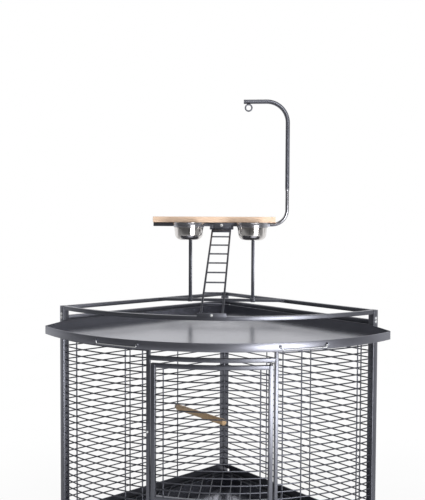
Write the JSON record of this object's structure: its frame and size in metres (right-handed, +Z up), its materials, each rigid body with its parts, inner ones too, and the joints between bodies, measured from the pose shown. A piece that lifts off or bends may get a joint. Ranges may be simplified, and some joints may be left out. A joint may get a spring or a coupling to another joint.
{
  "type": "corner bird cage",
  "caption": "Quarter-round corner bird cage with a play stand, ladder, lift-out bowls, slide-out trays and grate, swinging front door and casters.",
  "frame": {"origin": "centre of the footprint's box at floor level, under the wheels", "axes": "+X to the cage's right as seen from the curved front, +Y to the back corner, +Z up"},
  "size_m": [1.2516, 0.9807, 2],
  "materials": {
    "frame_coat": "dark satin powder coat",
    "tray_coat": "smooth glossy powder coat",
    "bowl_steel": "polished steel",
    "zinc": "zinc plated",
    "pine": "sanded pale softwood",
    "dowel": "plain turned dowel",
    "wheel": "matt black"
  },
  "bodies": {
    "cage": {"corner_post_left": "frame_coat", "corner_post_right": "frame_coat", "corner_post_back": "frame_coat", "front_leg": "frame_coat", "guard_rail_front": "frame_coat", "guard_side_rails": "frame_coat", "guard_cross_bar": "frame_coat", "side_rails": "frame_coat", "front_top_rail": "frame_coat", "bottom_rail_front": "frame_coat", "bottom_side_rails": "frame_coat", "base_rail_front": "frame_coat", "base_side_rails": "frame_coat", "top_runners": "frame_coat", "lower_runners": "frame_coat", "roof_grille": "frame_coat", "grille_rear_left": "frame_coat", "grille_rear_right": "frame_coat", "grille_front_left": "frame_coat", "grille_front_right": "frame_coat", "grille_under_door": "frame_coat", "door_post_left": "frame_coat", "door_post_right": "frame_coat", "door_header": "frame_coat", "door_sill": "frame_coat", "stand_uprights": "frame_coat", "stand_beam": "frame_coat", "bowl_ring_left": "frame_coat", "bowl_ring_right": "frame_coat", "ladder": "frame_coat", "ladder_bracket": "frame_coat", "ladder_foot": "frame_coat", "cane_lower": "frame_coat", "lower_shelf": "tray_coat", "caster_plates": "zinc", "perch_board": "pine", "perch": "dowel"},
    "cane": {"cane_upper": "frame_coat", "toy_eye": "frame_coat"},
    "bowl_left": {"play_bowl_left": "bowl_steel"},
    "bowl_right": {"play_bowl_right": "bowl_steel"},
    "tray": {"top_tray": "tray_coat", "pull_lugs": "frame_coat"},
    "pull_left": {"tray_pull_left": "frame_coat"},
    "pull_right": {"tray_pull_right": "frame_coat"},
    "door": {"door_frame": "frame_coat", "door_grille": "frame_coat", "door_pivots": "zinc"},
    "button": {"door_button": "zinc"},
    "low_tray": {"bottom_tray": "tray_coat"},
    "grate": {"grate_frame": "frame_coat", "grate_wires": "frame_coat"},
    "fork_left": {"caster_fork_left": "zinc"},
    "wheel_left": {"caster_wheel_left": "wheel"},
    "fork_right": {"caster_fork_right": "zinc"},
    "wheel_right": {"caster_wheel_right": "wheel"},
    "fork_back": {"caster_fork_back": "zinc"},
    "wheel_back": {"caster_wheel_back": "wheel"},
    "fork_front": {"caster_fork_front": "zinc"},
    "wheel_front": {"caster_wheel_front": "wheel"}
  },
  "joints": [
    {"name": "cane_swivel", "type": "hinge", "parent": "cage", "child": "cane", "pos_m": [0.269, 0.2074, 1.636], "axis": [0, 0, 1], "continuous": true},
    {"name": "bowl_left_lift", "type": "slide", "parent": "cage", "child": "bowl_left", "axis": [0, 0, 1], "range_m": [0, 0.12]},
    {"name": "bowl_right_lift", "type": "slide", "parent": "cage", "child": "bowl_right", "axis": [0, 0, 1], "range_m": [0, 0.12]},
    {"name": "tray_slide", "type": "slide", "parent": "cage", "child": "tray", "axis": [0, -1, 0], "range_m": [0, 0.5]},
    {"name": "low_tray_slide", "type": "slide", "parent": "cage", "child": "low_tray", "axis": [0, -1, 0], "range_m": [0, 0.5]},
    {"name": "grate_slide", "type": "slide", "parent": "cage", "child": "grate", "axis": [0, -1, 0], "range_m": [0, 0.5]},
    {"name": "door_swing", "type": "hinge", "parent": "cage", "child": "door", "pos_m": [0.20217, -0.31511, 0.7715], "axis": [0, 0, 1], "range_deg": [0, 120]},
    {"name": "button_turn", "type": "hinge", "parent": "cage", "child": "button", "pos_m": [-0.22264, -0.31789, 0.7715], "axis": [0.2656, 0.9641, 0], "range_deg": [0, 90]},
    {"name": "pull_left_swing", "type": "hinge", "parent": "tray", "child": "pull_left", "pos_m": [-0.30989, -0.42993, 1.1001], "axis": [-0.9198, 0.3923, 0], "range_deg": [0, 80]},
    {"name": "pull_right_swing", "type": "hinge", "parent": "tray", "child": "pull_right", "pos_m": [0.30989, -0.42993, 1.1001], "axis": [-0.9198, -0.3923, 0], "range_deg": [0, 80]},
    {"name": "caster_left_swivel", "type": "hinge", "parent": "cage", "child": "fork_left", "pos_m": [-0.57629, -0.10357, 0.08], "axis": [0, 0, 1], "continuous": true},
    {"name": "caster_left_roll", "type": "hinge", "parent": "fork_left", "child": "wheel_left", "pos_m": [-0.57629, -0.12357, 0.025], "axis": [1, 0, 0], "continuous": true},
    {"name": "caster_right_swivel", "type": "hinge", "parent": "cage", "child": "fork_right", "pos_m": [0.57629, -0.10357, 0.08], "axis": [0, 0, 1], "continuous": true},
    {"name": "caster_right_roll", "type": "hinge", "parent": "fork_right", "child": "wheel_right", "pos_m": [0.57629, -0.12357, 0.025], "axis": [1, 0, 0], "continuous": true},
    {"name": "caster_back_swivel", "type": "hinge", "parent": "cage", "child": "fork_back", "pos_m": [0, 0.47273, 0.08], "axis": [0, 0, 1], "continuous": true},
    {"name": "caster_back_roll", "type": "hinge", "parent": "fork_back", "child": "wheel_back", "pos_m": [0, 0.45272, 0.025], "axis": [1, 0, 0], "continuous": true},
    {"name": "caster_front_swivel", "type": "hinge", "parent": "cage", "child": "fork_front", "pos_m": [0, -0.3351, 0.08], "axis": [0, 0, 1], "continuous": true},
    {"name": "caster_front_roll", "type": "hinge", "parent": "fork_front", "child": "wheel_front", "pos_m": [0, -0.3551, 0.025], "axis": [1, 0, 0], "continuous": true}
  ]
}
